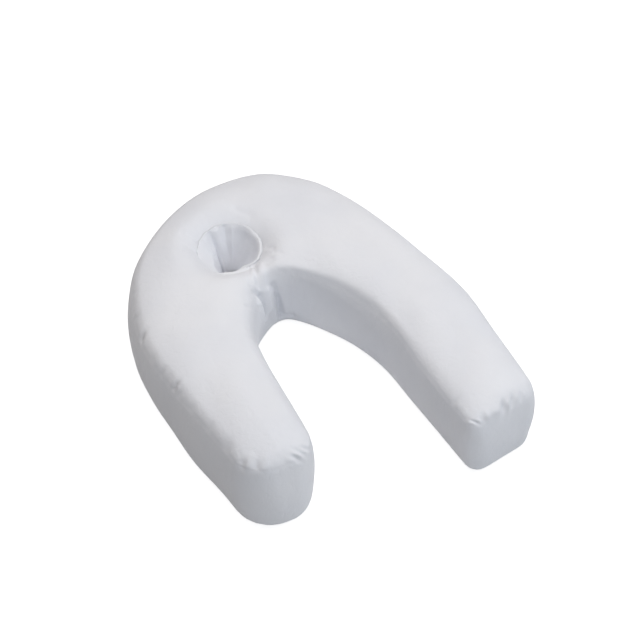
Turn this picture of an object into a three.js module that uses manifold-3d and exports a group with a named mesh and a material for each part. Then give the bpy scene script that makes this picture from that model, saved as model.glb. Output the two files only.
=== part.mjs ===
// A side sleeper pillow: a stuffed horseshoe of smooth white cotton with an ear well in its arch.
// Millimetres, +Z up. It lies on its back on Z = 0, the arch at +Y, both legs pointing to -Y,
// and the origin is under the middle of its outline.

import * as THREE from "three";
import Module from "manifold-3d";

const wasm = await Module();
wasm.setup();

// Driving sizes of the stuffed body
const crownHeight = 117; // the top panel's crown above the floor
const bottomSeamHeight = 9;
const bottomShoulder = 32; // the underside lies flat past this distance from its seam
const innerTurn = 22; // width of the top panel's quick turn behind its inner seam
const outerTurn = 16; // the same behind its outer seam
const endTurn = 20; // the same behind a leg's end
const turnShare = 0.6; // the turn's part of the rise from the seam to the crown
const crownRun = 52; // width of the slow swell that makes the rest of the rise
const shoulderPower = 2.2; // how square the turn is
const bandBulge = 5; // how far the side band stands out between the seams

// The top panel's seam, from the left leg's end, round the arch, to the right leg's end: a point on
// the inner and on the outer side for each station along the U
const topSeam = [
  { inX: -86.5, inY: -214, inZ: 97, outX: -172, outY: -209, outZ: 96 },
  { inX: -82.5, inY: -165, inZ: 94, outX: -177, outY: -160, outZ: 95 },
  { inX: -80, inY: -105, inZ: 94, outX: -184, outY: -105, outZ: 95 },
  { inX: -77.5, inY: -60, inZ: 93, outX: -192, outY: -52, outZ: 95 },
  { inX: -70, inY: -12, inZ: 92, outX: -198, outY: 8.5, outZ: 95 },
  { inX: -54, inY: 27.5, inZ: 91, outX: -191.5, outY: 68.5, outZ: 95 },
  { inX: -31.5, inY: 59, inZ: 90, outX: -156.5, outY: 157.5, outZ: 95 },
  { inX: -5, inY: 72.5, inZ: 90, outX: -91.5, outY: 226, outZ: 95 },
  { inX: 20, inY: 69, inZ: 90, outX: -15.5, outY: 262, outZ: 95 },
  { inX: 37, inY: 49, inZ: 90, outX: 67, outY: 259.5, outZ: 95 },
  { inX: 55.5, inY: 15, inZ: 89, outX: 128.5, outY: 208.5, outZ: 95 },
  { inX: 70, inY: -22.5, inZ: 88, outX: 164, outY: 126, outZ: 95 },
  { inX: 79.5, inY: -82, inZ: 88, outX: 186, outY: 19.5, outZ: 95 },
  { inX: 86, inY: -141.5, inZ: 88, outX: 198.5, outY: -77.5, outZ: 95 },
  { inX: 86.5, inY: -201, inZ: 90, outX: 190.5, outY: -159.5, outZ: 95 },
  { inX: 80.5, inY: -268.5, inZ: 96, outX: 181.5, outY: -256, outZ: 96 },
];

// The bottom panel's seam at the same stations, a little wider than the top one
const bottomSeam = [
  { inX: -93.5, inY: -231, outX: -176.5, outY: -223 },
  { inX: -89.5, inY: -165, outX: -184.5, outY: -158 },
  { inX: -81.5, inY: -100, outX: -196, outY: -99 },
  { inX: -75.5, inY: -48, outX: -199.5, outY: -46 },
  { inX: -64.5, inY: 0, outX: -202.5, outY: 12 },
  { inX: -47.5, inY: 31, outX: -199, outY: 74.5 },
  { inX: -24.5, inY: 50, outX: -170, outY: 163 },
  { inX: -5.5, inY: 60, outX: -98.5, outY: 231 },
  { inX: 13.5, inY: 60, outX: -16.5, outY: 268 },
  { inX: 31, inY: 42, outX: 70, outY: 265 },
  { inX: 52, inY: 8, outX: 133.5, outY: 211 },
  { inX: 69, inY: -28, outX: 170.5, outY: 126 },
  { inX: 81.5, inY: -78.5, outX: 192.5, outY: 20 },
  { inX: 84, inY: -140, outX: 201.5, outY: -78 },
  { inX: 86.5, inY: -205, outX: 194.5, outY: -160 },
  { inX: 88.5, inY: -274, outX: 181, outY: -264 },
];

// Radius of a panel's two corners at each leg's end
const topCorners = { left: 32, right: 16 };
const bottomCorners = { left: 38, right: 20 };

// The ear well: its middle, the direction of its long axis, and how far round it the panels sink
const earWell = { x: -34, y: 133, degrees: 62, dipRun: 38, footRun: 30 };

// Levels down the ear well: its half sizes along and across its long axis, how much of the sleeve's
// folds shows there, and how far the level tips up from the middle to the far end of that axis
const wellLevels = [
  { z: 140, long: 45, short: 42.5, fold: 0, tip: 5 },
  { z: 102, long: 45, short: 42.5, fold: 0, tip: 5 },
  { z: 99, long: 41.5, short: 39, fold: 0.5, tip: 5 },
  { z: 92, long: 37.5, short: 35, fold: 1, tip: 4 },
  { z: 82, long: 32.5, short: 30.5, fold: 1, tip: 3 },
  { z: 70, long: 26, short: 24, fold: 0.8, tip: 1 },
  { z: 58, long: 19.5, short: 18.5, fold: 0.5, tip: 0 },
  { z: 47, long: 17, short: 16, fold: 0.3, tip: 0 },
  { z: 34, long: 22, short: 21, fold: 0.3, tip: 0 },
  { z: 20, long: 32, short: 31, fold: 0.2, tip: 0 },
  { z: 9, long: 42, short: 40, fold: 0, tip: 0 },
  { z: -20, long: 42, short: 40, fold: 0, tip: 0 },
];
const rimLevel = 1; // the row of wellLevels where the top panel meets the sleeve
const footLevel = 10; // the row where the sleeve meets the bottom panel

// Folds of the sleeve: a ridge's direction from the long axis, how far it reaches into the well
// and how wide it is, in degrees
const sleeveFolds = [
  { degrees: 100, reach: 6.5, width: 38 },
  { degrees: 24, reach: 2.5, width: 12 },
  { degrees: 312, reach: 1.5, width: 16 },
  { degrees: 222, reach: 6, width: 17 },
  { degrees: 186, reach: 2, width: 13 },
];
const sleeveGap = 0.4; // between the sleeve and the body, measured sideways
const sleeveThickness = 2;

// Creases of the top panel round the ear well, in plan: a soft trough from one point to the other,
// or a ridge where the depth is below 0
const topCreases = [
  { fromX: -18, fromY: 95, toX: -22, toY: 69, width: 5, depth: 3 },
  { fromX: -10, fromY: 96, toX: -12, toY: 72, width: 5, depth: -1.5 },
  { fromX: -35, fromY: 90, toX: -40, toY: 66, width: 5, depth: 1.5 },
  { fromX: 8, fromY: 110, toX: 16, toY: 84, width: 6, depth: 2.5 },
  { fromX: -1, fromY: 186, toX: 11, toY: 158, width: 7, depth: 2 },
  { fromX: 42, fromY: 112, toX: 38, toY: 84, width: 13, depth: 2 },
];

// Upright creases of the side band in the arch's inner corner: where the band is pushed in, how
// far, and the heights between which it shows
const bandCreases = [
  { x: 3, y: 62, width: 7, depth: 5, lowZ: 4, highZ: 70 },
  { x: -24, y: 53, width: 7, depth: 4, lowZ: 30, highZ: 90 },
  { x: -42, y: 40, width: 7, depth: 3.5, lowZ: 34, highZ: 88 },
];
const bandCreaseFade = 14; // height over which a band crease dies away

const clamp01 = (x) => Math.min(1, Math.max(0, x));
const mix = (a, b, share) => a + (b - a) * share;
const shoulder = (distance, run, power = shoulderPower) => 1 - (1 - clamp01(distance / run)) ** power;
const hump = (distance, width) => Math.exp(-((distance / width) ** 2));

// A panel is the surface between its inner and its outer seam, with its corners rounded off
function panelOf(seam, corners) {
  const side = (x, y, z) =>
    new THREE.CatmullRomCurve3(
      seam.map((row) => new THREE.Vector3(row[x], row[y], row[z] ?? bottomSeamHeight)),
      false,
      "centripetal",
    );
  const panel = { inner: side("inX", "inY", "inZ"), outer: side("outX", "outY", "outZ") };
  panel.left = { radius: corners.left, ...endOf(panel, 0, 0.02) };
  panel.right = { radius: corners.right, ...endOf(panel, 1, 0.98) };
  return panel;
}

// The chord across a panel at a share of its length
function chordAt(panel, share) {
  const inner = panel.inner.getPoint(share);
  const outer = panel.outer.getPoint(share);
  return { inner, outer, half: Math.hypot(outer.x - inner.x, outer.y - inner.y) / 2 };
}

// Half a panel's width at an end, and the millimetres of its middle line for a whole share there
function endOf(panel, end, near) {
  const a = chordAt(panel, end);
  const b = chordAt(panel, near);
  const moved = (axis) => (b.inner[axis] + b.outer[axis] - a.inner[axis] - a.outer[axis]) / 2;
  return { half: a.half, speed: Math.hypot(moved("x"), moved("y")) / Math.abs(near - end) };
}

// How far a leg's rounded end lies behind its squared-off one, at a place across the leg
function cornerCut(side, end) {
  const past = clamp01((Math.abs(side) * end.half - (end.half - end.radius)) / end.radius);
  return (end.radius * (1 - Math.sqrt(1 - past * past))) / end.speed;
}

// A point of a panel in plan, with its distances to the seam. along runs 0 to 1 from leg end to
// leg end, side -1 to 1 across.
function panelPlace(panel, along, side) {
  const first = cornerCut(side, panel.left);
  const last = 1 - cornerCut(side, panel.right);
  const share = mix(first, last, along);
  const chord = chordAt(panel, share);
  const place = chord.inner.lerp(chord.outer, (side + 1) / 2);
  return {
    x: place.x,
    y: place.y,
    seam: place.z,
    fromSide: (1 - Math.abs(side)) * chord.half,
    fromEnd: Math.min((share - first) * panel.left.speed, (last - share) * panel.right.speed),
  };
}

const topPanel = panelOf(topSeam, topCorners);
const bottomPanel = panelOf(bottomSeam, bottomCorners);

// A place in the ear well's own axes
const wellTurn = THREE.MathUtils.degToRad(earWell.degrees);
function inWell(x, y) {
  const dx = x - earWell.x;
  const dy = y - earWell.y;
  return {
    along: dx * Math.cos(wellTurn) + dy * Math.sin(wellTurn),
    across: dy * Math.cos(wellTurn) - dx * Math.sin(wellTurn),
  };
}

const wellHeight = (level, along) => level.z + (level.tip * along) / level.long;

// The height of a panel that sinks to a level of the well's edge
function sunkHeight(x, y, level, run, height) {
  const at = inWell(x, y);
  const outside = Math.hypot(at.along / level.long, at.across / level.short) - 1;
  return mix(wellHeight(level, at.along), height, shoulder(outside * level.short, run));
}

// How deep a crease lies at a point: full along its line, fading to both sides and at its ends
function creaseDepth(crease, x, y) {
  const line = new THREE.Vector2(crease.toX - crease.fromX, crease.toY - crease.fromY);
  const at = new THREE.Vector2(x - crease.fromX, y - crease.fromY);
  const share = at.dot(line) / line.lengthSq();
  const beyond = Math.max(0, -share, share - 1) * line.length();
  const aside = Math.abs(at.cross(line)) / line.length();
  return crease.depth * hump(Math.hypot(aside, beyond), crease.width);
}

// The share of the rise from seam to crown at a distance from the seam: a quick turn, then a swell
function topRise(distance, turn) {
  return mix(shoulder(distance, crownRun, 2), shoulder(distance, turn), turnShare);
}

function topPoint(along, side) {
  const at = panelPlace(topPanel, along, side);
  const turn = mix(innerTurn, outerTurn, THREE.MathUtils.smoothstep(side, -0.5, 0.5));
  const round = topRise(at.fromSide, turn) * topRise(at.fromEnd, endTurn);
  const surface = mix(at.seam, crownHeight, round);
  const full = sunkHeight(at.x, at.y, wellLevels[rimLevel], earWell.dipRun, surface);
  const pressed = topCreases.reduce((sum, crease) => sum + creaseDepth(crease, at.x, at.y), 0);
  return new THREE.Vector3(at.x, at.y, full - pressed * round);
}

function bottomPoint(along, side) {
  const at = panelPlace(bottomPanel, along, side);
  const flat = shoulder(at.fromSide, bottomShoulder) * shoulder(at.fromEnd, bottomShoulder);
  const height = at.seam * (1 - flat);
  const sunk = sunkHeight(at.x, at.y, wellLevels[footLevel], earWell.footRun, height);
  return new THREE.Vector3(at.x, at.y, sunk);
}

// The body's mesh: a grid for each panel, and the side band between their edges
const alongSteps = 92;
const acrossSteps = 16;
const bandSteps = 6;
const alongCrowding = 0.75; // how much the grid's rows draw together towards the leg ends

// Even steps of 0 to 1, drawn together at both ends
const drawnIn = (step, share) => mix(step, (1 - Math.cos(Math.PI * step)) / 2, share);

function bodySolid() {
  const points = [];
  const faces = [];
  const quad = (a, b, c, d) => faces.push([a, b, c], [a, c, d]);
  const top = panelGrid(points, topPoint);
  const bottom = panelGrid(points, bottomPoint);
  for (let i = 0; i < alongSteps; i++) {
    for (let j = 0; j < acrossSteps; j++) {
      quad(top[i][j], top[i + 1][j], top[i + 1][j + 1], top[i][j + 1]);
      quad(bottom[i][j], bottom[i][j + 1], bottom[i + 1][j + 1], bottom[i + 1][j]);
    }
  }
  const edge = edgeWalk();
  const upper = edge.map(([i, j]) => top[i][j]);
  const lower = edge.map(([i, j]) => bottom[i][j]);
  let above = upper;
  for (let step = 1; step <= bandSteps; step++) {
    const below = step === bandSteps ? lower : bandRing(points, upper, lower, step / bandSteps);
    for (let k = 0; k < edge.length; k++) {
      const next = (k + 1) % edge.length;
      quad(above[k], above[next], below[next], below[k]);
    }
    above = below;
  }
  return solidOf(points, faces);
}

function panelGrid(points, pointAt) {
  const rows = [];
  for (let i = 0; i <= alongSteps; i++) {
    const row = [];
    for (let j = 0; j <= acrossSteps; j++) {
      row.push(points.length);
      const side = 2 * drawnIn(j / acrossSteps, 1) - 1;
      points.push(pointAt(drawnIn(i / alongSteps, alongCrowding), side));
    }
    rows.push(row);
  }
  return rows;
}

// The grid's edge vertices in order: left end, outer side, right end, inner side
function edgeWalk() {
  const walk = [];
  for (let j = 0; j < acrossSteps; j++) walk.push([0, j]);
  for (let i = 0; i < alongSteps; i++) walk.push([i, acrossSteps]);
  for (let j = acrossSteps; j > 0; j--) walk.push([alongSteps, j]);
  for (let i = alongSteps; i > 0; i--) walk.push([i, 0]);
  return walk;
}

// One ring of the side band between the seams: it bulges out, and its creases press it in
function bandRing(points, upper, lower, share) {
  const bulge = bandBulge * Math.sin(Math.PI * share);
  return upper.map((_, k) => {
    const before = points[upper[(k + upper.length - 1) % upper.length]];
    const after = points[upper[(k + 1) % upper.length]];
    const out = new THREE.Vector3(before.y - after.y, after.x - before.x, 0).normalize();
    const point = points[upper[k]].clone().lerp(points[lower[k]], share);
    const pressed = bandCreases.reduce((sum, crease) => sum + bandCreaseDepth(crease, point), 0);
    points.push(point.addScaledVector(out, bulge - pressed));
    return points.length - 1;
  });
}

function bandCreaseDepth(crease, point) {
  const beyond = Math.max(0, crease.lowZ - point.z, point.z - crease.highZ);
  const away = Math.hypot(point.x - crease.x, point.y - crease.y);
  return crease.depth * hump(away, crease.width) * hump(beyond, bandCreaseFade);
}

// The well's outline at one level, drawn in from its wall by an inset
const wellSides = 56;
function wellRing(level, inset) {
  const ring = [];
  for (let k = 0; k < wellSides; k++) {
    const turn = (2 * Math.PI * k) / wellSides;
    const oval = 1 / Math.hypot(Math.cos(turn) / level.long, Math.sin(turn) / level.short);
    const folded = sleeveFolds.reduce((sum, fold) => {
      const off = THREE.MathUtils.radToDeg(turn) - fold.degrees;
      return sum + fold.reach * hump(THREE.MathUtils.euclideanModulo(off + 180, 360) - 180, fold.width);
    }, 0);
    const radius = oval - level.fold * folded - inset;
    const x = earWell.x + radius * Math.cos(turn + wellTurn);
    const y = earWell.y + radius * Math.sin(turn + wellTurn);
    ring.push(new THREE.Vector3(x, y, wellHeight(level, radius * Math.cos(turn))));
  }
  return ring;
}

// Bands of faces between a stack of rings, from the top one down
function ringFaces(rings, count) {
  const faces = [];
  for (let r = 0; r < count; r++) {
    const upper = r * wellSides;
    const lower = ((r + 1) % rings.length) * wellSides;
    for (let k = 0; k < wellSides; k++) {
      const next = (k + 1) % wellSides;
      faces.push([upper + k, lower + k, lower + next], [upper + k, lower + next, upper + next]);
    }
  }
  return faces;
}

// What the well cuts out of the body: its rings with a cap above and below
function wellCutter() {
  const rings = wellLevels.map((level) => wellRing(level, 0));
  const faces = ringFaces(rings, rings.length - 1);
  const last = (rings.length - 1) * wellSides;
  for (let k = 1; k < wellSides - 1; k++) {
    faces.push([0, k, k + 1], [last, last + k + 1, last + k]);
  }
  return solidOf(rings.flat(), faces);
}

// The sleeve is a tube of cloth that lines the well from the rim to the foot
function sleeveSolid() {
  const lined = wellLevels.slice(rimLevel, footLevel + 1);
  const outside = lined.map((level) => wellRing(level, sleeveGap));
  const inside = lined.map((level) => wellRing(level, sleeveGap + sleeveThickness));
  const rings = [...outside, ...inside.reverse()];
  return solidOf(rings.flat(), ringFaces(rings, rings.length));
}

function solidOf(points, faces) {
  return new wasm.Manifold(
    new wasm.Mesh({
      numProp: 3,
      vertProperties: new Float32Array(points.flatMap((p) => [p.x, p.y, p.z])),
      triVerts: new Uint32Array(faces.flat()),
    }),
  );
}

function clothPiece(name, solid, color) {
  const mesh = solid.getMesh();
  const geometry = new THREE.BufferGeometry()
    .setAttribute("position", new THREE.BufferAttribute(mesh.vertProperties, 3))
    .setIndex(new THREE.BufferAttribute(mesh.triVerts, 1));
  const cloth = new THREE.MeshStandardMaterial({ color, roughness: 0.8, metalness: 0 });
  const piece = new THREE.Mesh(geometry, cloth);
  piece.name = name;
  return piece;
}

const pillow = new THREE.Group();
pillow.add(clothPiece("pillow_body", bodySolid().subtract(wellCutter()), "#e6e8ee"));
pillow.add(clothPiece("ear_sleeve", sleeveSolid(), "#e3e6ee"));

const outline = new THREE.Box3().setFromObject(pillow);
const middle = outline.getCenter(new THREE.Vector3());
pillow.position.set(-middle.x, -middle.y, -outline.min.z);

const part = new THREE.Group();
part.add(pillow);

export default part;
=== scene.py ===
import bpy
import math
import numpy as np
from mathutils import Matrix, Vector
from mathutils.kdtree import KDTree


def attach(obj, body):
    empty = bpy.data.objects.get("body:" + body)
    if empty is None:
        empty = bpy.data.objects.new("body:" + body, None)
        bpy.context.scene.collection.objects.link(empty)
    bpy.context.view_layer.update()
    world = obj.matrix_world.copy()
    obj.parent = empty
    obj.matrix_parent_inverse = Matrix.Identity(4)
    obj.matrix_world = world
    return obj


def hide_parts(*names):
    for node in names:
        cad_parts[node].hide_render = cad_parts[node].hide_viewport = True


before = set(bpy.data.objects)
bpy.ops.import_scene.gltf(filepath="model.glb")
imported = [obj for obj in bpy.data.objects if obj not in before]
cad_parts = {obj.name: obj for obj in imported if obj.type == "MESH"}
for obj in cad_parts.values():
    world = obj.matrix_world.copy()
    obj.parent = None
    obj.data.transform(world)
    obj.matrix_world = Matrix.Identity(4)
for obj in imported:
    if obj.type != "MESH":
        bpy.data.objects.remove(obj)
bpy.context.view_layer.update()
mm = 0.001

# The pillow lies on its back, arch at +Y, legs to -Y. Everything below is in millimetres.


def table(rows, *names):
    return [np.array([row[name] for row in rows], float) for name in names]


def mix(a, b, share):
    return a + (b - a) * share


def shoulder(distance, run, power=2.2):
    return 1 - (1 - np.clip(distance / run, 0, 1)) ** power


def hump(distance, width):
    return np.exp(-((distance / width) ** 2))


def ease(low, high, value):
    share = np.clip((value - low) / (high - low), 0, 1)
    return share * share * (3 - 2 * share)


# Panels

cover = {
    "alongSteps": 500,  # grid rows along the U
    "acrossSteps": 62,  # grid columns across it
    "bandSteps": 26,  # rings of the side band
    "acrossCrowding": 0.25,  # how much the columns draw together at the seams
    "crown": 117,  # the top's height above the floor
    "bottomSeam": 9,
    "outerTurn": 14,  # the quick turn of the top beside its outer seam
    "endTurn": 17,
    "turnShare": 0.34,  # its part of the rise from seam to crown
    "crownRun": 58,  # the slow swell of the rest
    "bottomShoulder": 32,  # run of the rounded edge underneath
    "bandBulge": 5,
    "seamEase": 5.5,  # how far from a seam the stuffing rounds the cloth over it
    "seamRounds": 32,
    "seamDepth": 0.25,  # the sewn line itself
    "seamWidth": 1.2,
    "unevenness": 0.65,  # slow lumps of the filling
    "lumpSize": 70,
    "lumpSeed": 4,
    "lumpsFromFloor": (0.5, 12),  # the lumps grow over these distances
    "lumpsFromSeam": (2, 20),
    "flatUnder": (0.5, 0.95),  # how far down the cloth faces where it lies flat on the floor
    "topCorners": {"left": 32, "right": 16},
    "bottomCorners": {"left": 38, "right": 20},
}

rowDensity = [  # how close the grid rows lie at a share of the way along the U
    {"share": 0, "density": 1.9},
    {"share": 0.04, "density": 1.3},
    {"share": 0.34, "density": 1.25},
    {"share": 0.46, "density": 0.8},
    {"share": 0.72, "density": 0.8},
    {"share": 0.95, "density": 1.0},
    {"share": 1, "density": 1.9},
]

topSeam = [  # each station's inner and outer seam points, and how far the top turns at the inner one
    {"inX": -86.5, "inY": -214, "inZ": 97, "inTurn": 18, "outX": -172, "outY": -209, "outZ": 98},
    {"inX": -82.5, "inY": -165, "inZ": 97, "inTurn": 18, "outX": -179, "outY": -161, "outZ": 97},
    {"inX": -80, "inY": -105, "inZ": 97, "inTurn": 18, "outX": -187.5, "outY": -106, "outZ": 97},
    {"inX": -77.5, "inY": -60, "inZ": 97, "inTurn": 18, "outX": -195.5, "outY": -53, "outZ": 97},
    {"inX": -70, "inY": -12, "inZ": 95, "inTurn": 17, "outX": -201, "outY": 9, "outZ": 97},
    {"inX": -51, "inY": 26, "inZ": 92, "inTurn": 17, "outX": -194, "outY": 70, "outZ": 97},
    {"inX": -30, "inY": 52, "inZ": 82, "inTurn": 20, "outX": -158.5, "outY": 159, "outZ": 97},
    {"inX": -10, "inY": 65, "inZ": 92, "inTurn": 15, "outX": -91.5, "outY": 226, "outZ": 97},
    {"inX": 14, "inY": 57.5, "inZ": 98, "inTurn": 8, "outX": -15.5, "outY": 261, "outZ": 97},
    {"inX": 33, "inY": 39.5, "inZ": 98, "inTurn": 8, "outX": 67, "outY": 258.5, "outZ": 97},
    {"inX": 54, "inY": 9, "inZ": 98, "inTurn": 10, "outX": 128.5, "outY": 208.5, "outZ": 97},
    {"inX": 71, "inY": -33, "inZ": 98, "inTurn": 13, "outX": 164, "outY": 126, "outZ": 97},
    {"inX": 81, "inY": -90, "inZ": 99, "inTurn": 15, "outX": 186, "outY": 19.5, "outZ": 97},
    {"inX": 78, "inY": -151, "inZ": 99, "inTurn": 18, "outX": 198.5, "outY": -77.5, "outZ": 97},
    {"inX": 77.5, "inY": -209, "inZ": 99, "inTurn": 21, "outX": 190.5, "outY": -159.5, "outZ": 97},
    {"inX": 80.5, "inY": -268.5, "inZ": 98, "inTurn": 20, "outX": 181.5, "outY": -256, "outZ": 97},
]

bottomSeam = [  # the same stations along the bottom panel, a little wider
    {"inX": -93.5, "inY": -231, "outX": -176.5, "outY": -223},
    {"inX": -89.5, "inY": -165, "outX": -184.5, "outY": -158},
    {"inX": -81.5, "inY": -100, "outX": -196, "outY": -99},
    {"inX": -75.5, "inY": -48, "outX": -199.5, "outY": -46},
    {"inX": -64.5, "inY": 0, "outX": -202.5, "outY": 12},
    {"inX": -47.5, "inY": 31, "outX": -199, "outY": 74.5},
    {"inX": -24.5, "inY": 50, "outX": -170, "outY": 163},
    {"inX": -5.5, "inY": 60, "outX": -98.5, "outY": 231},
    {"inX": 13.5, "inY": 60, "outX": -16.5, "outY": 268},
    {"inX": 31, "inY": 42, "outX": 70, "outY": 265},
    {"inX": 52, "inY": 8, "outX": 133.5, "outY": 211},
    {"inX": 69, "inY": -28, "outX": 170.5, "outY": 126},
    {"inX": 81.5, "inY": -78.5, "outX": 192.5, "outY": 20},
    {"inX": 84, "inY": -140, "outX": 201.5, "outY": -78},
    {"inX": 86.5, "inY": -205, "outX": 194.5, "outY": -160},
    {"inX": 88.5, "inY": -274, "outX": 181, "outY": -264},
]


def seamCurve(points, shares):
    # A centripetal Catmull-Rom curve through the points, read at shares of 0 to 1
    ends = [2 * points[0] - points[1], 2 * points[-1] - points[-2]]
    held = np.vstack([ends[0], points, ends[1]])
    place = np.clip(shares, 0, 1) * (len(points) - 1)
    first = np.minimum(place.astype(int), len(points) - 2)
    t = (place - first)[:, None]
    p0, p1, p2, p3 = (held[first + k] for k in range(4))
    pairs = (p0, p1), (p1, p2), (p2, p3)
    gap = [np.sqrt(np.linalg.norm(b - a, axis=1))[:, None] for a, b in pairs]
    leave = (p1 - p0) / gap[0] - (p2 - p0) / (gap[0] + gap[1]) + (p2 - p1) / gap[1]
    arrive = (p2 - p1) / gap[1] - (p3 - p1) / (gap[1] + gap[2]) + (p3 - p2) / gap[2]
    leave, arrive = leave * gap[1], arrive * gap[1]
    bend = -3 * p1 + 3 * p2 - 2 * leave - arrive
    close = 2 * p1 - 2 * p2 + leave + arrive
    return p1 + leave * t + bend * t**2 + close * t**3


def makePanel(rows, corners, flatSeam=None):
    inX, inY, outX, outY = table(rows, "inX", "inY", "outX", "outY")
    if flatSeam is None:
        inZ, outZ = table(rows, "inZ", "outZ")
    else:
        inZ = outZ = np.full(len(rows), float(flatSeam))
    panel = {"inner": np.column_stack([inX, inY, inZ]), "outer": np.column_stack([outX, outY, outZ])}
    for end, near, side in ((0.0, 0.02, "left"), (1.0, 0.98, "right")):
        inner, outer = chordsOf(panel, np.array([end, near]))
        moved = (inner[1] + outer[1] - inner[0] - outer[0]) / 2
        panel[side] = {
            "radius": corners[side],
            "half": np.linalg.norm((outer - inner)[0, :2]) / 2,
            "speed": np.linalg.norm(moved[:2]) / abs(near - end),
        }
    return panel


def chordsOf(panel, shares):
    return seamCurve(panel["inner"], shares), seamCurve(panel["outer"], shares)


def cornerCut(side, end):
    past = np.clip((np.abs(side) * end["half"] - (end["half"] - end["radius"])) / end["radius"], 0, 1)
    return end["radius"] * (1 - np.sqrt(1 - past * past)) / end["speed"]


def panelPlaces(panel, along, side):
    first = cornerCut(side, panel["left"])
    last = 1 - cornerCut(side, panel["right"])
    share = mix(first, last, along)
    inner, outer = chordsOf(panel, share)
    half = np.linalg.norm((outer - inner)[:, :2], axis=1) / 2
    place = mix(inner, outer, ((side + 1) / 2)[:, None])
    fromLeft = (share - first) * panel["left"]["speed"]
    fromRight = (last - share) * panel["right"]["speed"]
    return {
        "place": place,
        "fromSide": (1 - np.abs(side)) * half,
        "fromEnd": np.minimum(fromLeft, fromRight),
        "share": share,
    }


topPanel = makePanel(topSeam, cover["topCorners"])
bottomPanel = makePanel(bottomSeam, cover["bottomCorners"], cover["bottomSeam"])


# Ear well

earWell = {
    "x": -34,
    "y": 133,
    "degrees": 62,  # direction of its long axis
    "dipRun": 38,
    "footRun": 30,
    "backing": 1.6,  # how far the cover's own wall stands behind the sleeve
    "frameReach": 1.12,  # the grid gives way to rings within this many half sizes
    "rimRings": 16,
    "ringCrowding": 1.35,  # how much the rings draw together at the mouth
    "wallRings": 24,
}

wellLevels = [  # half sizes along and across the long axis, the rim's roll, tip to the far end
    {"z": 102, "long": 45, "short": 42.5, "roll": 0, "tip": 5},
    {"z": 99.8, "long": 43.2, "short": 40.7, "roll": 1.8, "tip": 5},
    {"z": 96.2, "long": 40.6, "short": 38.1, "roll": 2.4, "tip": 5},
    {"z": 91, "long": 37, "short": 34.5, "roll": 0.8, "tip": 4},
    {"z": 82, "long": 31, "short": 29, "roll": 0, "tip": 3},
    {"z": 70, "long": 24.5, "short": 22.5, "roll": 0, "tip": 1},
    {"z": 56, "long": 17.5, "short": 16.5, "roll": 0, "tip": 0},
    {"z": 42, "long": 14.5, "short": 13.5, "roll": 0, "tip": 0},
    {"z": 31, "long": 20, "short": 19, "roll": 0, "tip": 0},
    {"z": 20, "long": 31, "short": 30, "roll": 0, "tip": 0},
    {"z": 9, "long": 42, "short": 40, "roll": 0, "tip": 0},
]

rimRolls = [  # how full the roll at the mouth is, by direction from the long axis
    {"degrees": 0, "share": 0.1},
    {"degrees": 50, "share": 0},
    {"degrees": 130, "share": 0},
    {"degrees": 170, "share": 0.25},
    {"degrees": 210, "share": 0.5},
    {"degrees": 250, "share": 1.2},
    {"degrees": 290, "share": 1.3},
    {"degrees": 325, "share": 0.7},
    {"degrees": 360, "share": 0.1},
]

sleeveFolds = [  # direction, its lean by the waist, width; reach into the well at four depths
    {"degrees": 100, "lean": -12, "width": 40, "ring": 0, "rim": 2, "throat": 7.5, "waist": 2},
    {"degrees": 60, "lean": 10, "width": 7, "ring": 0, "rim": 1.5, "throat": 2.6, "waist": 1.5},
    {"degrees": 42, "lean": 10, "width": 5, "ring": 0, "rim": -1.5, "throat": -4.8, "waist": -5},
    {"degrees": 28, "lean": -2, "width": 7, "ring": 0, "rim": 2, "throat": 2, "waist": 0.5},
    {"degrees": 12, "lean": -6, "width": 4.5, "ring": 0, "rim": -2.2, "throat": -1.4, "waist": 0},
    {"degrees": 359, "lean": 0, "width": 4, "ring": 0, "rim": 1.6, "throat": 1.2, "waist": 0.3},
    {"degrees": 334, "lean": 0, "width": 13, "ring": 0, "rim": -1, "throat": -2.6, "waist": -0.5},
    {"degrees": 312, "lean": 6, "width": 12, "ring": 0, "rim": 0.8, "throat": 1.2, "waist": 0},
    {"degrees": 262, "lean": -10, "width": 12, "ring": 0, "rim": 0.6, "throat": -1.5, "waist": 0.6},
    {"degrees": 213, "lean": 0, "width": 21, "ring": 5, "rim": 7.5, "throat": 7.5, "waist": 3},
    {"degrees": 178, "lean": 0, "width": 17, "ring": 2.5, "rim": 4.5, "throat": 5, "waist": 3},
    {"degrees": 164, "lean": 0, "width": 6, "ring": 0, "rim": -1, "throat": -1.5, "waist": 0},
    {"degrees": 141, "lean": 0, "width": 12, "ring": 0, "rim": 1, "throat": 2, "waist": 0},
]

# The heights of those depths; at the foot the folds have run out
foldDepths = {"ring": 102, "rim": 98, "throat": 84, "waist": 56, "foot": 26}

wellTurn = math.radians(earWell["degrees"])


def inWell(x, y):
    # Plan points in the well's own axes
    dx, dy = x - earWell["x"], y - earWell["y"]
    along = dx * math.cos(wellTurn) + dy * math.sin(wellTurn)
    across = dy * math.cos(wellTurn) - dx * math.sin(wellTurn)
    return along, across


def fromWell(along, across):
    x = earWell["x"] + along * math.cos(wellTurn) - across * math.sin(wellTurn)
    y = earWell["y"] + along * math.sin(wellTurn) + across * math.cos(wellTurn)
    return x, y


def wellLevel(depth):
    # The level at a share of the way from the rim to the foot, smooth through the rows
    rows = np.column_stack(table(wellLevels, "z", "long", "short", "roll", "tip"))
    z, long, short, roll, tip = seamCurve(rows, np.atleast_1d(depth)).T
    return {"z": z, "long": long, "short": short, "roll": roll, "tip": tip}


def sunkHeight(x, y, level, run, height):
    along, across = inWell(x, y)
    outside = np.hypot(along / level["long"], across / level["short"]) - 1
    rim = level["z"] + level["tip"] * along / level["long"]
    return mix(rim, height, shoulder(outside * level["short"], run))


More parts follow.
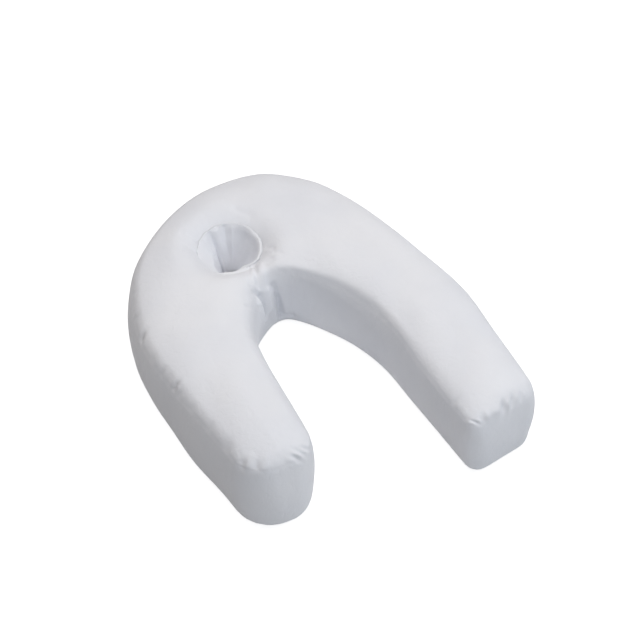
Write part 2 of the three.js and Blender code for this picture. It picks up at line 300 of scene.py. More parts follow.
def topRise(distance, turn):
    # From a seam the top turns quickly and then swells slowly to its crown
    slow = shoulder(distance, cover["crownRun"], 2)
    return mix(slow, shoulder(distance, turn), cover["turnShare"])


def topPoints(along, side):
    at = panelPlaces(topPanel, along, side)
    x, y, seam = at["place"].T
    stations = np.linspace(0, 1, len(topSeam))
    inTurn = np.interp(at["share"], stations, table(topSeam, "inTurn")[0])
    turn = mix(inTurn, cover["outerTurn"], ease(-0.5, 0.5, side))
    rounding = topRise(at["fromSide"], turn) * topRise(at["fromEnd"], cover["endTurn"])
    height = sunkHeight(x, y, wellLevels[0], earWell["dipRun"], mix(seam, cover["crown"], rounding))
    return np.column_stack([x, y, height])


def bottomPoints(along, side):
    at = panelPlaces(bottomPanel, along, side)
    x, y, seam = at["place"].T
    run = cover["bottomShoulder"]
    flat = shoulder(at["fromSide"], run) * shoulder(at["fromEnd"], run)
    height = sunkHeight(x, y, wellLevels[-1], earWell["footRun"], seam * (1 - flat))
    return np.column_stack([x, y, height])


def rowsAlong():
    # Grid rows spread by the density table
    shares, density = table(rowDensity, "share", "density")
    fine = np.linspace(0, 1, 4001)
    run = np.concatenate([[0], np.cumsum(np.interp((fine[1:] + fine[:-1]) / 2, shares, density))])
    return np.interp(np.linspace(0, run[-1], cover["alongSteps"] + 1), run, fine)


def columnsAcross():
    even = np.linspace(0, 1, cover["acrossSteps"] + 1)
    return 2 * mix(even, (1 - np.cos(np.pi * even)) / 2, cover["acrossCrowding"]) - 1


alongAt = rowsAlong()
sideAt = columnsAcross()


class Net:
    # Points and faces of one mesh while it is put together
    def __init__(self):
        self.points = []
        self.count = 0
        self.faces = []

    def add(self, points):
        start = self.count
        self.points.append(points)
        self.count += len(points)
        return np.arange(start, self.count)

    def strip(self, upper, lower, closed=True):
        a, b = np.asarray(upper), np.asarray(lower)
        if closed:
            a, b = np.append(a, a[0]), np.append(b, b[0])
        self.faces += [tuple(int(v) for v in f) for f in zip(a[:-1], b[:-1], b[1:], a[1:])]

    def all(self):
        return np.vstack(self.points)


def insideWell(points, grid, level):
    # Where a grid's rows and columns meet the well's edge
    along, across = inWell(points[grid, 0], points[grid, 1])
    reach = np.hypot(along / level["long"], across / level["short"])
    rows, columns = np.where(reach < earWell["frameReach"])
    return rows.min() - 1, rows.max() + 1, columns.min() - 1, columns.max() + 1


def edgeOf(block):
    first, last, low, high = block
    walk = [(first, j) for j in range(low, high)]
    walk += [(i, high) for i in range(first, last)]
    walk += [(last, j) for j in range(high, low, -1)]
    walk += [(i, low) for i in range(last, first, -1)]
    return walk


def placeOnPanel(pointsAt, targets, along, side):
    # The panel coordinates of plan points, by Newton steps from a guess
    step = 1e-4
    for _ in range(12):
        here = pointsAt(along, side)[:, :2]
        dAlong = (pointsAt(along + step, side)[:, :2] - here) / step
        dSide = (pointsAt(along, side + step)[:, :2] - here) / step
        gap = targets - here
        det = dAlong[:, 0] * dSide[:, 1] - dAlong[:, 1] * dSide[:, 0]
        along = along + (gap[:, 0] * dSide[:, 1] - gap[:, 1] * dSide[:, 0]) / det
        side = side + (dAlong[:, 0] * gap[:, 1] - dAlong[:, 1] * gap[:, 0]) / det
    return along, side


def layPanel(net, pointsAt, block, level, upward):
    # A grid with a round hole: its columns bend into rings round the well
    rows, columns = len(alongAt), len(sideAt)
    along, side = np.meshgrid(alongAt, sideAt, indexing="ij")
    grid = net.add(pointsAt(along.ravel(), side.ravel())).reshape(rows, columns)
    points = net.all()
    if block is None:
        block = insideWell(points, grid, level)
    first, last, low, high = block
    walk = edgeOf(block)
    frameRing = np.array([grid[i, j] for i, j in walk])
    frameAlong = np.array([alongAt[i] for i, _ in walk])
    frameSide = np.array([sideAt[j] for _, j in walk])
    long, short = inWell(points[frameRing, 0], points[frameRing, 1])
    turn = np.arctan2(short / level["short"], long / level["long"])
    rimAlong, rimAcross = level["long"] * np.cos(turn), level["short"] * np.sin(turn)
    radius = np.hypot(rimAlong, rimAcross)
    drawn = 1 - foldReach(np.arctan2(rimAcross, rimAlong), level["z"]) / radius
    rim = np.column_stack(fromWell(rimAlong * drawn, rimAcross * drawn))
    along, side = placeOnPanel(pointsAt, rim, frameAlong, frameSide)
    ring = frameRing
    for step in range(1, earWell["rimRings"] + 1):
        share = 1 - (1 - step / earWell["rimRings"]) ** earWell["ringCrowding"]
        inner = net.add(pointsAt(mix(frameAlong, along, share), mix(frameSide, side, share)))
        net.strip(*((ring, inner) if upward else (inner, ring)))
        ring = inner
    for i in range(rows - 1):
        for j in range(columns - 1):
            if first <= i < last and low <= j < high:
                continue
            corners = (grid[i, j], grid[i + 1, j], grid[i + 1, j + 1], grid[i, j + 1])
            quad = tuple(int(corner) for corner in corners)
            net.faces.append(quad if upward else quad[::-1])
    return grid, ring, block


def panelEdge(grid):
    rows, columns = grid.shape
    walk = [grid[0, j] for j in range(columns - 1)]
    walk += [grid[i, columns - 1] for i in range(rows - 1)]
    walk += [grid[rows - 1, j] for j in range(columns - 1, 0, -1)]
    walk += [grid[i, 0] for i in range(rows - 1, 0, -1)]
    return np.array(walk)


def outwardAlong(edge):
    before, after = np.roll(edge, 1, axis=0), np.roll(edge, -1, axis=0)
    step = after - before
    out = np.column_stack([-step[:, 1], step[:, 0], np.zeros(len(edge))])
    return out / np.linalg.norm(out, axis=1)[:, None]


def foldReach(turn, z):
    # How far the sleeve's cloth stands into the well at a height and direction
    names = sorted(foldDepths, key=foldDepths.get)
    depths = [foldDepths[name] for name in names]
    down = ease(foldDepths["throat"], foldDepths["waist"], z)
    reach = np.zeros_like(turn)
    for fold in sleeveFolds:
        strength = np.interp(z, depths, [fold.get(name, 0) for name in names])
        off = (np.degrees(turn) - fold["degrees"] - fold["lean"] * down + 180) % 360 - 180
        reach += strength * hump(off, fold["width"])
    return reach


def rollShare(turn):
    degrees, shares = table(rimRolls, "degrees", "share")
    return np.interp(np.degrees(turn) % 360, degrees, shares)


def wellPoints(depth, turn, inset, gather=0.0):
    # A ring of the well at a share of its depth; turn runs in the well's own axes
    level = wellLevel(depth)
    oval = 1 / np.hypot(np.cos(turn) / level["long"], np.sin(turn) / level["short"])
    radius = oval - foldReach(turn, level["z"][0]) - inset + gather
    along, across = radius * np.cos(turn), radius * np.sin(turn)
    height = level["z"] + level["tip"] * along / level["long"] + level["roll"] * rollShare(turn)
    return np.column_stack([*fromWell(along, across), height])


def ringTurn(points):
    along, across = inWell(points[:, 0], points[:, 1])
    return np.arctan2(across, along)


# The cover's creases, puckers and lumps

creases = [  # on the top: soft troughs between two points, ridges where the depth is below 0
    {"from": (-20, 89), "to": (-28, 60), "width": 2.6, "depth": 2.4},
    {"from": (-13, 84), "to": (-20, 59), "width": 4, "depth": -1.4},
    {"from": (-25, 94), "to": (-28, 86), "width": 2, "depth": 0.8},
    {"from": (-32, 82), "to": (-38, 60), "width": 5, "depth": 1.2},
    {"from": (-7, 80), "to": (1, 84), "width": 6, "depth": 1.2},
    {"from": (8.5, 108), "to": (13, 100), "width": 3.5, "depth": 1.4},
    {"from": (11, 90), "to": (17, 84), "width": 3.5, "depth": 1},
    {"from": (-8, 95), "to": (8, 84), "width": 4, "depth": -0.8},
    {"from": (2, 188), "to": (5, 183), "width": 5, "depth": 1.6},
    {"from": (10, 176), "to": (14, 169), "width": 5, "depth": 1.4},
    {"from": (-80, 178), "to": (-67, 164), "width": 5, "depth": 1},
    {"from": (-88, 158), "to": (-77, 147), "width": 5, "depth": 1},
]

wallCreases = [  # the same on the side band
    {"from": (-36, 52, 93), "to": (-29.5, 55, 80.5), "width": 4, "depth": 3},
    {"from": (-28, 54.5, 78), "to": (-25, 50, 64), "width": 4, "depth": 6.5},
    {"from": (-24.7, 49.3, 60), "to": (-25, 47.8, 44), "width": 4.4, "depth": 7.5},
    {"from": (-15.4, 58.8, 80), "to": (-14.2, 54.5, 50), "width": 5, "depth": -3.8},
    {"from": (-6.4, 62, 82), "to": (-3.2, 59, 66), "width": 4, "depth": 3.4},
    {"from": (-2.4, 58.3, 62), "to": (0.2, 57.7, 47), "width": 3.8, "depth": 6.5},
    {"from": (0.8, 57.9, 42), "to": (2.2, 58.9, 28), "width": 3.6, "depth": 7.5},
    {"from": (3, 59.4, 23), "to": (3.3, 59.5, 13), "width": 4, "depth": 6},
    {"from": (6.7, 59, 23.6), "to": (17.4, 53.6, 23.4), "width": 2.2, "depth": 4},
    {"from": (-46.3, 46.9, 94), "to": (-40, 44, 74), "width": 4, "depth": 2.6},
    {"from": (-60.4, 26, 101), "to": (-52, 32, 84), "width": 4, "depth": 1.6},
    {"from": (-36, 47, 76), "to": (-32, 44, 50), "width": 5, "depth": -3.4},
]

topOnly = (70, 90)  # the top's creases fade out between these heights

seamPuckers = [  # at a point of the top seam: reach into the panel and down the band, and lean
    {"x": 86, "y": -228, "inward": 10, "down": 4, "width": 3, "depth": 1, "lean": 0},
    {"x": 92, "y": -262, "inward": 4, "down": 6, "width": 2.2, "depth": 2, "lean": 0.7},
    {"x": 105, "y": -266, "inward": 10, "down": 9, "width": 3.2, "depth": -1.5, "lean": 0},
    {"x": 115, "y": -266, "inward": 10, "down": 8, "width": 9, "depth": -2.4, "lean": 0},
    {"x": 127, "y": -262, "inward": 8, "down": 13, "width": 3.2, "depth": 2.8, "lean": -0.2},
    {"x": 134, "y": -261, "inward": 7, "down": 10, "width": 3, "depth": -1.4, "lean": 0},
    {"x": 141, "y": -260, "inward": 9, "down": 11, "width": 2.8, "depth": 2.8, "lean": -0.3},
    {"x": 154, "y": -258, "inward": 8, "down": 8, "width": 2.6, "depth": 2, "lean": -0.2},
    {"x": 168, "y": -256, "inward": 11, "down": 6, "width": 5, "depth": 1.2, "lean": 0},
    {"x": 176, "y": -250, "inward": 8, "down": 6, "width": 3, "depth": 0.8, "lean": 0},
    {"x": -96, "y": -206, "inward": 10, "down": 7, "width": 2.6, "depth": 2.2, "lean": 0.3},
    {"x": -103, "y": -210, "inward": 13, "down": 9, "width": 2.6, "depth": 2.4, "lean": 0.3},
    {"x": -110, "y": -212, "inward": 6, "down": 11, "width": 3, "depth": 2, "lean": 0.4},
    {"x": -107, "y": -212, "inward": 9, "down": 8, "width": 2.6, "depth": -1.4, "lean": 0.3},
    {"x": -156, "y": -198, "inward": 15, "down": 5, "width": 4.2, "depth": 1.8, "lean": 0},
    {"x": -166, "y": -186, "inward": 8, "down": 9, "width": 3.2, "depth": 1.5, "lean": 0},
    {"x": -173, "y": -160, "inward": 20, "down": 6, "width": 6, "depth": 1.2, "lean": 0},
    {"x": -180, "y": -126, "inward": 12, "down": 5, "width": 5, "depth": 0.7, "lean": 0},
    {"x": -186, "y": -90, "inward": 9, "down": 6, "width": 4, "depth": 0.7, "lean": 0},
    {"x": -193, "y": -62, "inward": 6, "down": 9, "width": 4, "depth": 0.8, "lean": 0},
    {"x": -194, "y": -53, "inward": 14, "down": 6, "width": 2.6, "depth": 2.5, "lean": 0},
    {"x": -197, "y": -25, "inward": 10, "down": 9, "width": 3.2, "depth": 1.2, "lean": 0},
    {"x": -200, "y": 2, "inward": 12, "down": 5, "width": 5, "depth": 0.9, "lean": 0},
    {"x": -199, "y": 38, "inward": 11, "down": 10, "width": 4.2, "depth": 3, "lean": 0.2},
    {"x": -193, "y": 76, "inward": 8, "down": 8, "width": 3, "depth": 0.8, "lean": 0},
    {"x": -178, "y": 118, "inward": 9, "down": 6, "width": 3, "depth": 0.6, "lean": 0},
]

puckerShape = {
    "reach": 40,  # how far from its point a pucker can go at all
    "lift": 6,  # how far above the seam it is deepest
    "ridge": 0.3,  # height of the low ridge on both sides, against the depth
    "ridgeAt": 2.2,  # its place and width, against the pucker's width
    "ridgeWidth": 1.1,
}

seamGathers = {  # the small gathers that every stretch of the seams has
    "first": 4,
    "spacing": 21,
    "inward": 8,
    "down": 6,
    "width": 2.8,
    "depth": 0.16,
    "seed": 11,
}


def vertexNormals(points, faces):
    quads = np.array(faces)
    diagonals = points[quads[:, 2]] - points[quads[:, 0]], points[quads[:, 3]] - points[quads[:, 1]]
    facing = np.cross(*diagonals)
    normals = np.zeros_like(points)
    for corner in range(4):
        np.add.at(normals, quads[:, corner], facing)
    return normals / np.maximum(np.linalg.norm(normals, axis=1), 1e-9)[:, None]


def lineDistance(points, start, end):
    line = end - start
    share = np.clip((points - start) @ line / (line @ line), 0, 1)
    return np.linalg.norm(points - start - share[:, None] * line, axis=1)


def pressCreases(points):
    pushed = np.zeros(len(points))
    above = ease(*topOnly, points[:, 2])
    for row in creases:
        away = lineDistance(points[:, :2], np.array(row["from"]), np.array(row["to"]))
        pushed += row["depth"] * above * hump(away, row["width"])
    for row in wallCreases:
        away = lineDistance(points, np.array(row["from"]), np.array(row["to"]))
        pushed += row["depth"] * hump(away, row["width"])
    return pushed


def gatheredRows(edge, pattern, seed):
    # Small puckers at uneven steps along a whole seam
    pick = np.random.default_rng(seed)
    steps = np.linalg.norm(np.roll(edge, -1, axis=0) - edge, axis=1)
    run = np.concatenate([[0], np.cumsum(steps)])
    rows, at = [], pattern["first"]
    while at < run[-1] - pattern["first"]:
        place = edge[np.searchsorted(run, at) - 1]
        rows.append({
            "x": place[0],
            "y": place[1],
            "inward": pattern["inward"] * pick.uniform(0.6, 1.5),
            "down": pattern["down"] * pick.uniform(0.6, 1.5),
            "width": pattern["width"] * pick.uniform(0.8, 1.4),
            "depth": pattern["depth"] * pick.uniform(0.3, 1.6),
        })
        at += pattern["spacing"] * pick.uniform(0.5, 1.6)
    return rows


def pressPuckers(points, edge, out, rows, upward):
    # A pucker is a short trough across the seam with a low ridge on both sides
    pushed = np.zeros(len(points))
    for row in rows:
        nearest = np.argmin(np.hypot(edge[:, 0] - row["x"], edge[:, 1] - row["y"]))
        seam, away = edge[nearest], out[nearest]
        near = np.where(np.linalg.norm(points - seam, axis=1) < puckerShape["reach"])[0]
        local = points[near] - seam
        inward = -(local[:, 0] * away[0] + local[:, 1] * away[1])
        rise = local[:, 2] if upward else -local[:, 2]
        run = inward + rise
        aside = local[:, 0] * away[1] - local[:, 1] * away[0] - row.get("lean", 0) * run
        run = run - puckerShape["lift"]
        fade = hump(run, np.where(run > 0, row["inward"], row["down"]))
        steps = np.abs(aside) / row["width"]
        ridge = puckerShape["ridge"] * hump(steps - puckerShape["ridgeAt"], puckerShape["ridgeWidth"])
        pushed[near] += row["depth"] * fade * (hump(steps, 1) - ridge)
    return pushed


def easeSeams(points, faces, seamGap):
    # Round the cloth over the seams: each point near one moves to the middle of its neighbours
    quads = np.array(faces)
    here, there = quads.ravel(), np.roll(quads, -1, axis=1).ravel()
    count = np.bincount(here)[:, None]
    weight = 0.5 * hump(seamGap, cover["seamEase"])[:, None]
    for _ in range(cover["seamRounds"]):
        middle = [np.bincount(here, weights=points[there, axis]) for axis in range(3)]
        points = points + weight * (np.column_stack(middle) / count - points)
    return points


def lumps(points, size, seed, waves=18):
    # Slow unevenness: a sum of sine waves in seeded directions
    pick = np.random.default_rng(seed)
    height = np.zeros(len(points))
    for _ in range(waves):
        direction = pick.normal(size=3)
        direction /= np.linalg.norm(direction)
        length = size * pick.uniform(0.7, 1.8)
        height += np.sin(points @ direction * 2 * math.pi / length + pick.uniform(0, 2 * math.pi))
    return height / math.sqrt(waves / 2)


def objectFrom(name, points, faces, material):
    mesh = bpy.data.meshes.new(name)
    mesh.from_pydata((points * mm).tolist(), [], faces)
    mesh.validate()
    mesh.update()
    mesh.polygons.foreach_set("use_smooth", [True] * len(mesh.polygons))
    made = bpy.data.objects.new(name, mesh)
    bpy.context.scene.collection.objects.link(made)
    mesh.materials.append(material)
    return made


# Cloth

clothMix = {
    "color": (0.790, 0.800, 0.835),
    "shade": (0.755, 0.770, 0.815),  # the slightly darker tone of its soft patches
    "patchEdge": (0.35, 0.65),
    "threadsPerMetre": 2200,
    "weaveHeight": 0.12,
    "weaveDepth": 0.0002,  # metres
    "crinkleSize": 90.0,
    "crinkleHeight": 0.38,
    "crinkleDepth": 0.002,  # metres
    "roughness": 0.78,
    "specular": 0.3,
    "sheen": 0.25,
    "sheenRoughness": 0.4,
}


def addNode(tree, kind, **values):
    node = tree.nodes.new(kind)
    for name, value in values.items():
        setattr(node, name, value)
    return node


def makeWeaveGroup():
    tree = bpy.data.node_groups.new("plainWeave", "ShaderNodeTree")
    face = tree.interface
    face.new_socket("Vector", in_out="INPUT", socket_type="NodeSocketVector")
    face.new_socket("Threads", in_out="INPUT", socket_type="NodeSocketFloat")
    face.new_socket("Height", in_out="OUTPUT", socket_type="NodeSocketFloat")
    entry = addNode(tree, "NodeGroupInput")
    leave = addNode(tree, "NodeGroupOutput")
    split = addNode(tree, "ShaderNodeSeparateXYZ")
    tree.links.new(entry.outputs["Vector"], split.inputs[0])
    waves = []
    for axis in range(3):
        scale = addNode(tree, "ShaderNodeMath", operation="MULTIPLY")
        tree.links.new(split.outputs[axis], scale.inputs[0])
        tree.links.new(entry.outputs["Threads"], scale.inputs[1])
        turn = addNode(tree, "ShaderNodeMath", operation="MULTIPLY")
        tree.links.new(scale.outputs[0], turn.inputs[0])
        turn.inputs[1].default_value = math.pi
        wave = addNode(tree, "ShaderNodeMath", operation="SINE")
        tree.links.new(turn.outputs[0], wave.inputs[0])
        waves.append(wave)
    crossing = addNode(tree, "ShaderNodeMath", operation="MULTIPLY")
    tree.links.new(waves[0].outputs[0], crossing.inputs[0])
    tree.links.new(waves[1].outputs[0], crossing.inputs[1])
    upright = addNode(tree, "ShaderNodeMath", operation="ADD")
    tree.links.new(waves[2].outputs[0], upright.inputs[0])
    upright.inputs[1].default_value = 0.6  # keeps the weave from fading out on level cloth
    weave = addNode(tree, "ShaderNodeMath", operation="MULTIPLY")
    tree.links.new(crossing.outputs[0], weave.inputs[0])
    tree.links.new(upright.outputs[0], weave.inputs[1])
    tree.links.new(weave.outputs[0], leave.inputs["Height"])
    return tree


def makeCrinkleGroup():
    tree = bpy.data.node_groups.new("softCrinkle", "ShaderNodeTree")
    face = tree.interface
    face.new_socket("Vector", in_out="INPUT", socket_type="NodeSocketVector")
    face.new_socket("Scale", in_out="INPUT", socket_type="NodeSocketFloat")
    face.new_socket("Height", in_out="OUTPUT", socket_type="NodeSocketFloat")
    face.new_socket("Patches", in_out="OUTPUT", socket_type="NodeSocketFloat")
    entry = addNode(tree, "NodeGroupInput")
    leave = addNode(tree, "NodeGroupOutput")
    noise = addNode(tree, "ShaderNodeTexNoise")
    noise.inputs["Detail"].default_value = 5
    noise.inputs["Roughness"].default_value = 0.55
    noise.inputs["Distortion"].default_value = 0.6
    tree.links.new(entry.outputs["Vector"], noise.inputs["Vector"])
    tree.links.new(entry.outputs["Scale"], noise.inputs["Scale"])
    tree.links.new(noise.outputs["Fac"], leave.inputs["Height"])
    patch = addNode(tree, "ShaderNodeTexNoise")
    patch.inputs["Scale"].default_value = 9
    patch.inputs["Detail"].default_value = 3
    tree.links.new(entry.outputs["Vector"], patch.inputs["Vector"])
    tree.links.new(patch.outputs["Fac"], leave.inputs["Patches"])
    return tree


weaveGroup = makeWeaveGroup()
crinkleGroup = makeCrinkleGroup()


def makeCloth(name, values):
    material = bpy.data.materials.new(name)
    material.use_nodes = True
    tree = material.node_tree
    tree.nodes.clear()
    output = addNode(tree, "ShaderNodeOutputMaterial")
    shader = addNode(tree, "ShaderNodeBsdfPrincipled")
    shader.inputs["Roughness"].default_value = values["roughness"]
    shader.inputs["Sheen Weight"].default_value = values["sheen"]
    shader.inputs["Sheen Roughness"].default_value = values["sheenRoughness"]
    shader.inputs["Specular IOR Level"].default_value = values["specular"]
    tree.links.new(shader.outputs[0], output.inputs["Surface"])
    place = addNode(tree, "ShaderNodeTexCoord")
    weave = addNode(tree, "ShaderNodeGroup", node_tree=weaveGroup)
    weave.inputs["Threads"].default_value = values["threadsPerMetre"]
    crinkle = addNode(tree, "ShaderNodeGroup", node_tree=crinkleGroup)
    crinkle.inputs["Scale"].default_value = values["crinkleSize"]
    tree.links.new(place.outputs["Object"], weave.inputs["Vector"])
    tree.links.new(place.outputs["Object"], crinkle.inputs["Vector"])
    patches = addNode(tree, "ShaderNodeMapRange")
    patches.inputs["From Min"].default_value = values["patchEdge"][0]
    patches.inputs["From Max"].default_value = values["patchEdge"][1]
    tree.links.new(crinkle.outputs["Patches"], patches.inputs["Value"])
    color = addNode(tree, "ShaderNodeMix", data_type="RGBA")
    color.inputs["A"].default_value = (*values["color"], 1)
    color.inputs["B"].default_value = (*values["shade"], 1)
    tree.links.new(patches.outputs["Result"], color.inputs["Factor"])
    tree.links.new(color.outputs["Result"], shader.inputs["Base Color"])
    crumple = addNode(tree, "ShaderNodeBump")
    crumple.inputs["Strength"].default_value = values["crinkleHeight"]
    crumple.inputs["Distance"].default_value = values["crinkleDepth"]
    tree.links.new(crinkle.outputs["Height"], crumple.inputs["Height"])
    thread = addNode(tree, "ShaderNodeBump")
    thread.inputs["Strength"].default_value = values["weaveHeight"]
    thread.inputs["Distance"].default_value = values["weaveDepth"]
    tree.links.new(weave.outputs["Height"], thread.inputs["Height"])
    tree.links.new(crumple.outputs["Normal"], thread.inputs["Normal"])
    tree.links.new(thread.outputs["Normal"], shader.inputs["Normal"])
    return material


coverCloth = makeCloth("coverCloth", clothMix)
sleeveCloth = makeCloth("sleeveCloth", {**clothMix, "crinkleHeight": 0.45})
print("cloth ready")


# The stuffed cover: top panel, side band, bottom panel and the wall behind the sleeve


def makeCover():
    net = Net()
    topGrid, topRing, block = layPanel(net, topPoints, None, wellLevels[0], True)
    bottomGrid, footRing, _ = layPanel(net, bottomPoints, block, wellLevels[-1], False)
    points = net.all()
    upper, lower = panelEdge(topGrid), panelEdge(bottomGrid)
    top, bottom = points[upper], points[lower]
    out = outwardAlong(top)
    ring = upper
    for step in range(1, cover["bandSteps"] + 1):
        share = (1 - math.cos(math.pi * step / cover["bandSteps"])) / 2
        share = mix(step / cover["bandSteps"], share, 0.5)
        if step == cover["bandSteps"]:
            below = lower
        else:
            bulge = cover["bandBulge"] * math.sin(math.pi * share)
            below = net.add(mix(top, bottom, share) + out * bulge)
        net.strip(below, ring)
        ring = below
    rimTurn, footTurn = ringTurn(points[topRing]), ringTurn(points[footRing])
    footTurn = rimTurn + (footTurn - rimTurn + math.pi) % (2 * math.pi) - math.pi
    ring = topRing
    for step in range(1, earWell["wallRings"] + 1):
        share = step / earWell["wallRings"]
        if step == earWell["wallRings"]:
            below = footRing
        else:
            turn = mix(rimTurn, footTurn, share)
            below = net.add(wellPoints(share, turn, -earWell["backing"] * math.sin(math.pi * share)))
        net.strip(ring, below)
        ring = below
    points = net.all()
    points = easeSeams(points, net.faces, nearSeam(points, np.vstack([top, bottom])))
    top, bottom = points[upper], points[lower]
    normals = vertexNormals(points, net.faces)
    seamGap = nearSeam(points, points[np.concatenate([upper, lower])])
    pushed = pressCreases(points)
    pushed += cover["seamDepth"] * hump(seamGap, cover["seamWidth"])
    pushed += pressPuckers(points, top, out, seamPuckers, True)
    pushed += pressPuckers(points, top, out, gatheredRows(top, seamGathers, seamGathers["seed"]), True)
    footOut = outwardAlong(bottom)
    footRows = gatheredRows(bottom, seamGathers, seamGathers["seed"] + 1)
    pushed += pressPuckers(points, bottom, footOut, footRows, False)
    free = ease(*cover["lumpsFromFloor"], points[:, 2]) * ease(*cover["lumpsFromSeam"], seamGap)
    pushed += cover["unevenness"] * lumps(points, cover["lumpSize"], cover["lumpSeed"]) * free
    held = 1 - ease(*cover["flatUnder"], -normals[:, 2])
    points = points - normals * (pushed * held)[:, None]
    points[:, 2] = np.maximum(points[:, 2], 0)
    print("cover laid:", len(net.faces), "faces, grid block", block)
    return objectFrom("pillowCover", points, net.faces, coverCloth)


def nearSeam(points, seam, reach=24):
    # Distance to the nearest seam point, exact below the reach
    tree = KDTree(len(seam))
    for k, p in enumerate(seam):
        tree.insert(p, k)
    tree.balance()
    return np.array([min(reach, tree.find(p)[2]) for p in points])


# The ear sleeve

sleevePlan = {
    "gap": 0.4,  # how far it stands off the well's own line
    "thick": 0.9,
    "sides": 320,
    "rings": 84,
    "pleatCounts": (17, 23, 31, 38),
    "pleatDepth": 0.5,
    "pleatRun": 0.09,  # share of the depth over which the pleats fade
    "pleatSeed": 5,
}


def rimGather(turn):
    # The small uneven pleats where the sleeve is gathered to the top panel
    pick = np.random.default_rng(sleevePlan["pleatSeed"])
    pleats = np.zeros_like(turn)
    for count in sleevePlan["pleatCounts"]:
        pleats += np.sin(count * turn + pick.uniform(0, 2 * math.pi)) * pick.uniform(0.3, 0.7)
    return pleats * sleevePlan["pleatDepth"]


def makeSleeve():
    # A closed sheet: the face seen in the well, and its back against the cover's wall
    rings, gap = sleevePlan["rings"], sleevePlan["gap"]
    turn = np.linspace(0, 2 * math.pi, sleevePlan["sides"], endpoint=False)
    net = Net()
    steps = [(step / rings, gap) for step in range(rings + 1)]
    steps += [(share, gap - sleevePlan["thick"]) for share, _ in steps[::-1]]
    laid = []
    for share, inset in steps:
        gather = rimGather(turn) * hump(share, sleevePlan["pleatRun"])
        laid.append(net.add(wellPoints(share, turn, inset, gather)))
    for before, ring in zip(laid, laid[1:] + laid[:1]):
        net.strip(ring, before)
    print("sleeve laid:", len(net.faces), "faces")
    return objectFrom("earSleeve", net.all(), net.faces, sleeveCloth)


pillow = makeCover()
sleeve = makeSleeve()

pieces = (pillow, "pillow_body", "cover_cloth"), (sleeve, "ear_sleeve", "sleeve_cloth")
for piece, node, slot in pieces:
    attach(piece, "root")
    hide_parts(node)
print("pieces ride on the frame")


# Studio

studio = {
    "floorHalf": 6000,
    "floor": (0.80, 0.80, 0.805),  # what the floor gives back to the pillow
    "floorSeen": (0.40, 0.40, 0.41),  # what the camera sees of it, above its glow
    "floorGlow": 0.86,
    "sky": (1.0, 0.97, 0.93),
    "skyStrength": 0.015,  # what it gives; the camera sees it white
    "lights": [
        {
            "name": "overhead",
            "place": (30, 270, 2200),
            "size": 2600,
            "power": 50.2,
            "color": (1, 0.967, 0.945),
        },
        {
            "name": "key",
            "place": (1700, -700, 1500),
            "size": 1300,
            "power": 12.6,
            "color": (0.9, 0.95, 1),
        },
        {
            "name": "front",
            "place": (0, -2230, 1080),
            "size": 1500,
            "power": 13.2,
            "color": (0.87, 0.94, 1),
        },
    ],
}


def splitForCamera(tree, given, seen, output):
    # One shader lights the pillow and the other is what the camera sees
    path = addNode(tree, "ShaderNodeLightPath")
    pick = addNode(tree, "ShaderNodeMixShader")
    tree.links.new(path.outputs["Is Camera Ray"], pick.inputs[0])
    tree.links.new(given.outputs[0], pick.inputs[1])
    tree.links.new(seen.outputs[0], pick.inputs[2])
    tree.links.new(pick.outputs[0], output.inputs["Surface"])


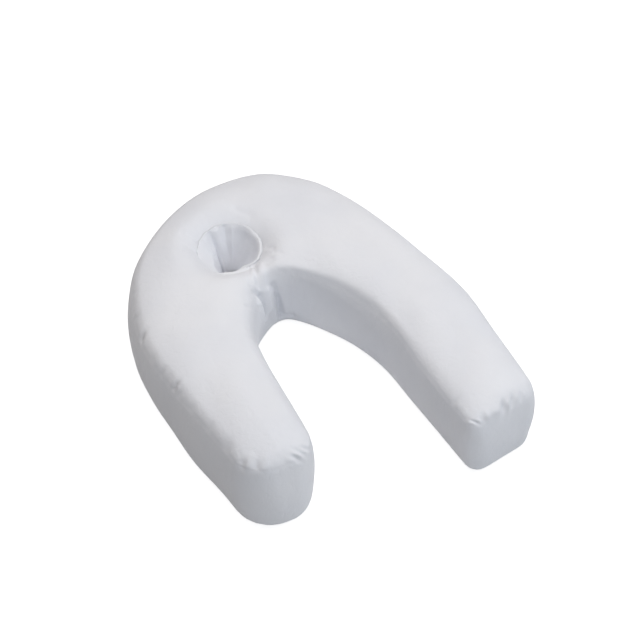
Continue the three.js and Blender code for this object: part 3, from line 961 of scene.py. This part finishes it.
def makeFloor():
    mesh = bpy.data.meshes.new("floor")
    half = studio["floorHalf"] * mm
    corners = [(-half, -half, 0), (half, -half, 0), (half, half, 0), (-half, half, 0)]
    mesh.from_pydata(corners, [], [(0, 1, 2, 3)])
    floor = bpy.data.objects.new("floor", mesh)
    bpy.context.scene.collection.objects.link(floor)
    material = bpy.data.materials.new("paleFloor")
    material.use_nodes = True
    tree = material.node_tree
    given = tree.nodes["Principled BSDF"]
    given.inputs["Base Color"].default_value = (*studio["floor"], 1)
    given.inputs["Roughness"].default_value = 1
    given.inputs["Specular IOR Level"].default_value = 0
    seen = addNode(tree, "ShaderNodeBsdfPrincipled")
    seen.inputs["Base Color"].default_value = (*studio["floorSeen"], 1)
    seen.inputs["Roughness"].default_value = 1
    seen.inputs["Specular IOR Level"].default_value = 0
    seen.inputs["Emission Color"].default_value = (1, 1, 1, 1)
    seen.inputs["Emission Strength"].default_value = studio["floorGlow"]
    splitForCamera(tree, given, seen, tree.nodes["Material Output"])
    mesh.materials.append(material)


def makeLight(values):
    lamp = bpy.data.lights.new(values["name"], "AREA")
    lamp.shape = "SQUARE"
    lamp.size = values["size"] * mm
    lamp.energy = values["power"]
    lamp.color = values["color"]
    light = bpy.data.objects.new(values["name"], lamp)
    light.location = Vector(values["place"]) * mm
    light.rotation_mode = "QUATERNION"
    light.rotation_quaternion = (-light.location).to_track_quat("-Z", "Y")
    bpy.context.scene.collection.objects.link(light)


def makeSky():
    world = bpy.data.worlds.new("studioSky")
    world.use_nodes = True
    tree = world.node_tree
    given = tree.nodes["Background"]
    given.inputs["Color"].default_value = (*studio["sky"], 1)
    given.inputs["Strength"].default_value = studio["skyStrength"]
    seen = addNode(tree, "ShaderNodeBackground")
    seen.inputs["Color"].default_value = (1, 1, 1, 1)
    splitForCamera(tree, given, seen, tree.nodes["World Output"])
    bpy.context.scene.world = world


lookout = {
    "target": (55.5, 48, 0),
    "away": 1500,
    "elevation": 46,  # degrees above the floor
    "turn": 28.5,  # degrees to the left of the pillow's own axis
    "lens": 61.875,
    "sensor": 36,
}


def makeCamera():
    camera = bpy.data.cameras.new("photoView")
    camera.lens = lookout["lens"]
    camera.sensor_width = lookout["sensor"]
    holder = bpy.data.objects.new("photoView", camera)
    up, turn = math.radians(lookout["elevation"]), math.radians(lookout["turn"])
    back = Vector((-math.sin(turn) * math.cos(up), -math.cos(turn) * math.cos(up), math.sin(up)))
    holder.location = (Vector(lookout["target"]) + back * lookout["away"]) * mm
    holder.rotation_mode = "QUATERNION"
    holder.rotation_quaternion = (-back).to_track_quat("-Z", "Y")
    bpy.context.scene.collection.objects.link(holder)
    bpy.context.scene.camera = holder


makeFloor()
for values in studio["lights"]:
    makeLight(values)
makeSky()
makeCamera()
bpy.context.scene.view_settings.view_transform = "Standard"
print("studio set")
